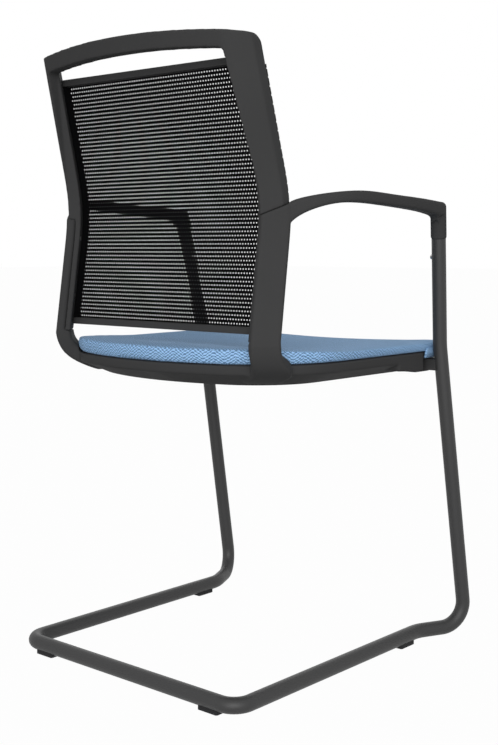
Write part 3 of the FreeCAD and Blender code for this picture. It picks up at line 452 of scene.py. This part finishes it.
def object_from(shape, name):
    """A linked object made of a bmesh, which is freed."""
    mesh = bpy.data.meshes.new(name)
    shape.to_mesh(mesh)
    shape.free()
    piece = bpy.data.objects.new(name, mesh)
    bpy.context.scene.collection.objects.link(piece)
    return piece


def bake_modifiers(piece):
    """The piece's mesh with its modifiers applied."""
    depsgraph = bpy.context.evaluated_depsgraph_get()
    depsgraph.update()
    old = piece.data
    piece.data = bpy.data.meshes.new_from_object(piece.evaluated_get(depsgraph))
    piece.modifiers.clear()
    bpy.data.meshes.remove(old)
    piece.data.name = piece.name


def remesh(piece, voxel):
    """Give a piece one closed skin of small even faces."""
    skin = piece.modifiers.new("Remesh", "REMESH")
    skin.mode = "VOXEL"
    skin.voxel_size = voxel


def soften(piece, rounds, group=""):
    """Round the edges of a piece, or of one vertex group of it."""
    smooth = piece.modifiers.new("Soften", "SMOOTH")
    smooth.factor = 0.5
    smooth.iterations = rounds
    smooth.vertex_group = group


def mark_below(piece, name, level):
    """A vertex group of what lies below a level."""
    group = piece.vertex_groups.new(name=name)
    group.add([v.index for v in piece.data.vertices if v.co.z < level], 1.0, "REPLACE")
    return group.name


def place_piece(piece, slot, *nodes, smooth=True):
    """Give a piece its finish and shading, hang it under the root, and hide the CAD nodes that it is
    shown in place of.
    """
    piece.data.materials.clear()
    piece.data.materials.append(finish_of(slot))
    for face in piece.data.polygons:
        face.use_smooth = smooth
    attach(piece, "root")
    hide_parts(*nodes)


# Mouldings

def build_moulding(name, nodes, voxel, rounds, keep, low_rounds=0):
    """CAD nodes as one moulding with softened edges, rounder still from near the pan's rim downwards."""
    piece = object_from(node_copy(*nodes), name)
    remesh(piece, voxel)
    soften(piece, rounds)
    if low_rounds:
        bake_modifiers(piece)
        low = mark_below(piece, "Low", PAN_BOX[1].z - LOW_START)
        soften(piece, low_rounds, low)
    thin = piece.modifiers.new("Thin", "DECIMATE")
    thin.ratio = keep
    bake_modifiers(piece)
    place_piece(piece, "plastic", *nodes)


# Back net

def net_surface():
    """A function that gives the CAD net's front depth and half width at a height."""
    shape = node_copy("back_net")
    tree = BVHTree.FromBMesh(shape)
    shape.free()
    low, high = NET_BOX

    def at(z):
        level = min(max(z, low.z + PROBE_INSET), high.z - PROBE_INSET)
        front = tree.ray_cast(Vector((0.0, -1.0, level)), Vector((0.0, 1.0, 0.0)))[0].y
        start = Vector((1.0, front + PROBE_INSET, level))
        edge = tree.ray_cast(start, Vector((-1.0, 0.0, 0.0)))[0].x
        return front, edge

    return at


def net_bands(sizes, half, rows, columns):
    """The level bands, one flat strip a row, pinched between the threads."""
    shape = bmesh.new()
    bmesh.ops.create_grid(shape, x_segments=2 * columns, y_segments=1, size=0.5)
    step = half / columns
    for vert in shape.verts:
        place = round((vert.co.x + 0.5) * 2 * columns)
        upper = vert.co.y > 0.0
        # The threads above a band stand half a step from those below it
        share = BAND_AT_THREAD if (place % 2 == 1) == upper else BAND_AT_HOLE
        vert.co = Vector((place * step - half, 0.0, vert.co.y * sizes.band_width * share))
    first = everything(shape)
    for row in range(1, rows):
        verts = only(BMVert, bmesh.ops.duplicate(shape, geom=first)["geom"])
        if row % 2:
            for vert in verts:
                vert.co.z = -vert.co.z
        bmesh.ops.translate(shape, verts=verts, vec=Vector((0.0, 0.0, row * sizes.row_pitch)))
    return shape


def net_threads(sizes, half, rows, columns):
    """The short threads between the bands, offset by half a step from row to row like bricks."""
    shape = bmesh.new()
    pitch = 2 * half / columns
    reach = sizes.thread_width / 2
    start = sizes.band_width * THREAD_START
    for row in range(rows - 1):
        offset = 0.5 if row % 2 == 0 else 0.0
        low = row * sizes.row_pitch + start
        high = (row + 1) * sizes.row_pitch - start
        for column in range(columns):
            x = (column + offset) * pitch - half
            left, right = max(x - reach, -half), min(x + reach, half)
            corners = ((left, low), (right, low), (right, high), (left, high))
            shape.faces.new([shape.verts.new((a, 0.0, b)) for a, b in corners])
    return shape


def trim_corners(shape, reach, level):
    """Leave out what would turn round the blades' tips above a level."""
    centres = {face: face.calc_center_median() for face in shape.faces}
    faces = [face for face, at in centres.items() if abs(at.x) > reach and at.z > level]
    bmesh.ops.delete(shape, geom=faces, context="FACES")


def thicken(shape, front, thickness):
    """Flat strips pushed back to their thickness, from a depth in front."""
    faces = list(shape.faces)
    verts = only(BMVert, bmesh.ops.extrude_face_region(shape, geom=faces)["geom"])
    bmesh.ops.translate(shape, verts=verts, vec=Vector((0.0, thickness, 0.0)))
    bmesh.ops.translate(shape, verts=shape.verts, vec=Vector((0.0, front, 0.0)))
    bmesh.ops.recalc_face_normals(shape, faces=shape.faces)


def lay_net(shape, base):
    """Bend the flat net onto the back: curved up the height, and round each blade's tip at its edges."""
    at = net_surface()
    flat_half = at(base)[1] - TURN_INSET
    levels = {}
    for vert in shape.verts:
        z = base + vert.co.z
        key = round(z, 5)
        if key not in levels:
            levels[key] = at(z)
        front, edge = levels[key]
        half = edge - TURN_INSET
        s = vert.co.x
        if abs(s) <= flat_half:
            vert.co = Vector((s / flat_half * half, front + vert.co.y, z))
        else:
            angle = (abs(s) - flat_half) / (TIP_RADIUS + CAD_NET_THICKNESS / 2)
            radius = TIP_RADIUS + (CAD_NET_THICKNESS - vert.co.y)
            x = half + radius * math.sin(angle)
            y = front + CAD_NET_THICKNESS + TIP_RADIUS - radius * math.cos(angle)
            vert.co = Vector((math.copysign(x, s), y, z))


def build_net():
    """The knitted net, with its holes, from the bottom bar to the top bar and round the blades' tips."""
    sizes = bpy.context.scene.chair.sizes
    low, high = NET_BOX
    rows = int((high.z - low.z - sizes.band_width) / sizes.row_pitch) + 1
    base = (low.z + high.z - (rows - 1) * sizes.row_pitch) / 2
    half = high.x - TURN_INSET + sizes.net_wrap
    columns = int(2 * half / sizes.column_pitch)
    bands = net_bands(sizes, half, rows, columns)
    threads = net_threads(sizes, half, rows, columns)
    for shape in (bands, threads):
        trim_corners(shape, half - sizes.net_wrap, (rows - UNTURNED_ROWS) * sizes.row_pitch)
    thicken(bands, 0.0, sizes.net_thickness)
    thicken(threads, THREAD_SINK, sizes.net_thickness - THREAD_THINNER)
    mesh = bpy.data.meshes.new("threads")
    threads.to_mesh(mesh)
    threads.free()
    bands.from_mesh(mesh)
    bpy.data.meshes.remove(mesh)
    lay_net(bands, base)
    net = object_from(bands, "back_mesh")
    place_piece(net, "net", "back_net", smooth=False)


# Seat

def cushion_outline():
    """The cushion's outline, as points in order round the seat."""
    shape = node_copy("seat_cushion")
    cut = bmesh.ops.bisect_plane(
        shape,
        geom=everything(shape),
        plane_co=Vector((0.0, 0.0, CUSHION_BOX[0].z + OUTLINE_HEIGHT)),
        plane_no=Vector((0.0, 0.0, 1.0)),
    )["geom_cut"]
    links = {}
    for edge in only(BMEdge, cut):
        for vert in edge.verts:
            links.setdefault(vert, []).append(edge.other_vert(vert))
    start = max(links, key=lambda vert: vert.co.y)
    ring = [start]
    before, here = start, links[start][0]
    while here is not start:
        ring.append(here)
        before, here = here, next(vert for vert in links[here] if vert is not before)
    points = [vert.co.copy() for vert in ring]
    shape.free()
    return points


def hem_line(points):
    """The part of the cushion's outline in front of the pan's rim, as close points from side to side."""
    pan = node_copy("seat_pan")
    rim_front = min(v.co.y for v in pan.verts if v.co.z > PAN_BOX[1].z - RIM_DEPTH)
    pan.free()
    line = []
    for a, b in zip(points, points[1:] + points[:1]):
        pieces = max(1, round((b - a).length / HEM_STEP))
        line += [a.lerp(b, i / pieces) for i in range(pieces)]
    line = [p for p in line if p.y < rim_front - HEM_CLEARANCE]
    middle = sum(p.y for p in points) / len(points)
    return sorted(line, key=lambda p: math.atan2(p.x, middle - p.y))


def hem_strip(points, drop):
    """The cloth that turns down round the board's front, as a closed strip."""
    foot = CUSHION_BOX[0].z
    shape = bmesh.new()
    verts = [shape.verts.new((p.x, p.y, foot + HEM_TOP)) for p in hem_line(points)]
    for a, b in zip(verts, verts[1:]):
        shape.edges.new((a, b))
    low = only(BMVert, bmesh.ops.extrude_edge_only(shape, edges=shape.edges)["geom"])
    for vert in low:
        side = HEM_SIDE_TUCK if abs(vert.co.x) > HEM_SIDE_START else 0.0
        tuck = Vector((-math.copysign(side, vert.co.x), HEM_FRONT_TUCK, 0.0))
        vert.co = Vector((vert.co.x, vert.co.y, foot - drop)) + tuck
    bmesh.ops.recalc_face_normals(shape, faces=shape.faces)
    # The strip has to face outwards before it gets its thickness inwards
    if shape.faces[0].calc_center_median().dot(shape.faces[0].normal) < 0:
        bmesh.ops.reverse_faces(shape, faces=shape.faces)
    bmesh.ops.solidify(shape, geom=shape.faces, thickness=-HEM_THICKNESS)
    bmesh.ops.recalc_face_normals(shape, faces=shape.faces)
    return shape


def outline_marks(points):
    """Close places on the cushion's outline to search, how far along it each lies, and its length."""
    spots = []
    marks = []
    start = 0.0
    for a, b in zip(points, points[1:] + points[:1]):
        end = start + (b.xy - a.xy).length
        pieces = max(1, int((end - start) / MARK_STEP))
        for i in range(pieces):
            share = i / pieces
            spots.append(Vector((a.x + (b.x - a.x) * share, a.y + (b.y - a.y) * share, 0.0)))
            marks.append(start + (end - start) * share)
        start = end
    tree = KDTree(len(spots))
    for i, spot in enumerate(spots):
        tree.insert(spot, i)
    tree.balance()
    return tree, marks, start


def map_cloth(piece, points):
    """Lay the cloth's own map over the cushion: flat on top, and along its outline round its side."""
    tree, marks, total = outline_marks(points)
    mesh = piece.data
    layer = mesh.uv_layers.new(name="Cloth")
    for face in mesh.polygons:
        corners = [(i, mesh.vertices[mesh.loops[i].vertex_index].co) for i in face.loop_indices]
        if abs(face.normal.z) > LEVEL_SHARE:
            for index, point in corners:
                layer.data[index].uv = (point.x, point.y)
            continue
        along = [marks[tree.find(Vector((point.x, point.y, 0.0)))[1]] for _, point in corners]
        for (index, point), mark in zip(corners, along):
            # A face where the outline's end meets its start stays in one piece
            if abs(mark - along[0]) > total / 2:
                mark += math.copysign(total, along[0] - mark)
            layer.data[index].uv = (mark, point.z)


def cushion_height(x, y):
    """How high the cushion's top may stand over its foot: fullest at the rear, dipped in front."""
    back = min(max(y / REAR_LENGTH, 0.0), 1.0)
    rear = back * back * (3.0 - 2.0 * back)
    ahead = min(max((DIP_START - y) / DIP_LENGTH, 0.0), 1.0)
    across = max(0.0, 1.0 - (x / DIP_HALF_WIDTH) ** 2)
    return PAD_HEIGHT + REAR_RISE * rear - DIP_DEPTH * ahead * across


def stretched_pad():
    """The CAD cushion made wider and higher, for its top to be trimmed to its height."""
    low, high = CUSHION_BOX
    pad = node_copy("seat_cushion")
    wide = (high.x + PAD_OVERHANG) / high.x
    centre_y = (low.y + high.y) / 2
    for vert in pad.verts:
        z = low.z + (vert.co.z - low.z) * PAD_STRETCH
        vert.co = Vector((vert.co.x * wide, centre_y + (vert.co.y - centre_y) * wide, z))
    return pad


def swell(piece, sizes, level):
    """Blow the pad up as cloth by no more than its cap, with what lies on the board held down."""
    before = [v.co.copy() for v in piece.data.vertices]
    cloth = piece.modifiers.new("Cloth", "CLOTH")
    settings = cloth.settings
    settings.use_pressure = True
    settings.uniform_pressure_force = PAD_PRESSURE
    settings.effector_weights.gravity = 0.0
    settings.vertex_group_mass = mark_below(piece, "Held", level)
    cloth.point_cache.frame_start = 1
    cloth.point_cache.frame_end = sizes.frames
    scene = bpy.context.scene
    for number in range(1, sizes.frames + 1):
        scene.frame_set(number)
    blown = piece.evaluated_get(bpy.context.evaluated_depsgraph_get())
    after = [v.co.copy() for v in blown.to_mesh().vertices]
    blown.to_mesh_clear()
    piece.modifiers.clear()
    scene.frame_set(1)
    for vert, old, new in zip(piece.data.vertices, before, after):
        move = new - old
        if move.length > sizes.cushion_cap:
            move = move * (sizes.cushion_cap / move.length)
        vert.co = old + move
    piece.vertex_groups.clear()


def build_upholstery():
    """The padded, cloth covered cushion, with the hem that turns down round the board's front."""
    sizes = bpy.context.scene.chair.sizes
    foot = CUSHION_BOX[0].z
    cushion = object_from(stretched_pad(), "seat_upholstery")
    remesh(cushion, sizes.cushion_voxel * (1.0))
    bake_modifiers(cushion)
    for vert in cushion.data.vertices:
        vert.co.z = min(vert.co.z, foot + cushion_height(vert.co.x, vert.co.y))
    soften(cushion, PAD_ROUNDS)
    bake_modifiers(cushion)
    swell(cushion, sizes, foot + HELD_HEIGHT)
    smooth = cushion.modifiers.new("Smooth", "SUBSURF")
    smooth.levels = 1
    smooth.render_levels = 1
    bake_modifiers(cushion)
    points = cushion_outline()
    hem = hem_strip(points, sizes.hem_drop)
    hem.from_mesh(cushion.data)
    hem.to_mesh(cushion.data)
    hem.free()
    map_cloth(cushion, points)
    place_piece(cushion, "upholstery", "seat_cushion")


# Stage

def seen_rays(tree):
    """One where a camera, glossy or transmitted ray looks, and nought for light on the object."""
    path = add(tree, "LightPath")
    shiny = calc(tree, "MAXIMUM", path.outputs["Is Glossy Ray"], path.outputs["Is Transmission Ray"])
    return calc(tree, "MAXIMUM", path.outputs["Is Camera Ray"], shiny)


def make_floor(tone):
    """A grey floor for the light on the chair, which looks white and keeps a faint shadow."""
    shape = bmesh.new()
    bmesh.ops.create_grid(shape, x_segments=8, y_segments=8, size=FLOOR_REACH)
    floor = object_from(shape, "floor")
    material, tree, shader = start_finish(
        "stage_floor", Base_Color=scaled(tone), Roughness=0.9, Specular_IOR_Level=0.0
    )
    glow = add(tree, "Emission", {"Color": WHITE, "Strength": 1.0})
    share = calc(tree, "MULTIPLY", seen_rays(tree), FLOOR_WHITE)
    both = add(tree, "MixShader", {0: share, 1: shader.outputs[0], 2: glow.outputs[0]})
    tree.links.new(both.outputs[0], tree.nodes["Material Output"].inputs["Surface"])
    floor.data.materials.append(material)


def make_world(scene):
    """A white backdrop and an even, softer light from all round."""
    world = bpy.data.worlds.new("studio")
    world.use_nodes = True
    scene.world = world
    tree = world.node_tree
    tree.nodes.clear()
    backdrop = add(tree, "Background", {"Color": WHITE, "Strength": 1.0})
    light = add(tree, "Background", {"Color": WHITE, "Strength": WORLD_LIGHT})
    inputs = {0: seen_rays(tree), 1: light.outputs[0], 2: backdrop.outputs[0]}
    both = add(tree, "MixShader", inputs)
    add(tree, "OutputWorld", {"Surface": both.outputs[0]})


def make_lamps(scene):
    """Two large soft lamps: a key from the camera's side and a weak fill from the front."""
    for name, place, width, power in LAMPS:
        lamp = bpy.data.lights.new(name, "AREA")
        lamp.shape = "SQUARE"
        lamp.size = width
        lamp.energy = power
        holder = bpy.data.objects.new(name, lamp)
        scene.collection.objects.link(holder)
        holder.location = place
        holder.rotation_euler = (LAMP_TARGET - Vector(place)).to_track_quat("-Z", "Y").to_euler()


def make_camera(scene):
    """The camera where the photograph was taken."""
    data = bpy.data.cameras.new("photo_camera")
    data.sensor_width = CAMERA_SENSOR
    data.lens = CAMERA_LENS
    data.shift_y = CAMERA_SHIFT
    data.clip_start = CAMERA_NEAR
    camera = bpy.data.objects.new("photo_camera", data)
    scene.collection.objects.link(camera)
    ahead = Vector((math.cos(CAMERA_HEADING), math.sin(CAMERA_HEADING), 0.0))
    right = Vector((math.sin(CAMERA_HEADING), -math.cos(CAMERA_HEADING), 0.0))
    turn = Matrix((right, Vector((0.0, 0.0, 1.0)), -ahead)).transposed().to_4x4()
    camera.matrix_world = Matrix.Translation(CAMERA_PLACE) @ turn
    scene.camera = camera


# Operators

class CHAIR_OT_stage(Operator):
    """Make the floor, the light and the camera."""

    bl_idname = "chair.stage"
    bl_label = "Stage"

    def execute(self, context):
        scene = context.scene
        scene.view_settings.view_transform = "Standard"
        make_floor(scene.chair.colours.stage)
        make_world(scene)
        make_lamps(scene)
        make_camera(scene)
        return {"FINISHED"}


class CHAIR_OT_fixings(Operator):
    """Finish the pieces that are shown as they are packed, such as the sled, the board and the screws."""

    bl_idname = "chair.fixings"
    bl_label = "Sled and fixings"

    def execute(self, context):
        slots = {row["node"]: row["material_slot"] for row in frame["record"]["subparts"]}
        for node, piece in frame["nodes"].items():
            material = finish_of(slots[node])
            if not piece.material_slots:
                piece.data.materials.append(material)
            for slot in piece.material_slots:
                slot.material = material
        return {"FINISHED"}


class CHAIR_OT_mouldings(Operator):
    """Make the back frame, and the arms and the seat pan in one, with softened edges."""

    bl_idname = "chair.mouldings"
    bl_label = "Mouldings"

    def execute(self, context):
        voxel = context.scene.chair.sizes.plastic_voxel
        build_moulding("back_shell", ["back_frame"], voxel, SHELL_ROUNDS, SHELL_KEEP)
        nodes = ["seat_pan", "side_moulding_left", "side_moulding_right"]
        build_moulding("arms_and_seat_pan", nodes, voxel, BODY_ROUNDS, BODY_KEEP, LOW_ROUNDS)
        return {"FINISHED"}


class CHAIR_OT_net(Operator):
    """Make the stretched net of the back."""

    bl_idname = "chair.net"
    bl_label = "Back net"

    def execute(self, context):
        build_net()
        return {"FINISHED"}


class CHAIR_OT_upholstery(Operator):
    """Make the padded seat."""

    bl_idname = "chair.upholstery"
    bl_label = "Seat upholstery"

    def execute(self, context):
        build_upholstery()
        return {"FINISHED"}


STEPS = (CHAIR_OT_stage, CHAIR_OT_fixings, CHAIR_OT_mouldings, CHAIR_OT_net, CHAIR_OT_upholstery)


class CHAIR_PT_sidebar(Panel):
    """Lists the chair's settings and the steps that make it."""

    bl_idname = "CHAIR_PT_sidebar"
    bl_label = "Conference chair"
    bl_space_type = "VIEW_3D"
    bl_region_type = "UI"
    bl_category = "Chair"

    def draw(self, context):
        settings = context.scene.chair
        for group in (settings.colours, settings.sizes):
            box = self.layout.box()
            for name in group.__annotations__:
                box.prop(group, name)
        for step in STEPS:
            self.layout.operator(step.bl_idname)


CLASSES = (ChairColours, ChairSizes, ChairSettings) + STEPS + (CHAIR_PT_sidebar,)


def register():
    """Add the classes and the chair's settings."""
    for item in CLASSES:
        bpy.utils.register_class(item)
    bpy.types.Scene.chair = PointerProperty(type=ChairSettings)


def unregister():
    """Take the settings and the classes away again."""
    del bpy.types.Scene.chair
    for item in reversed(CLASSES):
        bpy.utils.unregister_class(item)


def main():
    """Build the chair."""
    register()
    for step in STEPS:
        group, name = step.bl_idname.split(".")
        getattr(getattr(bpy.ops, group), name)()


if __name__ == "__main__":
    main()
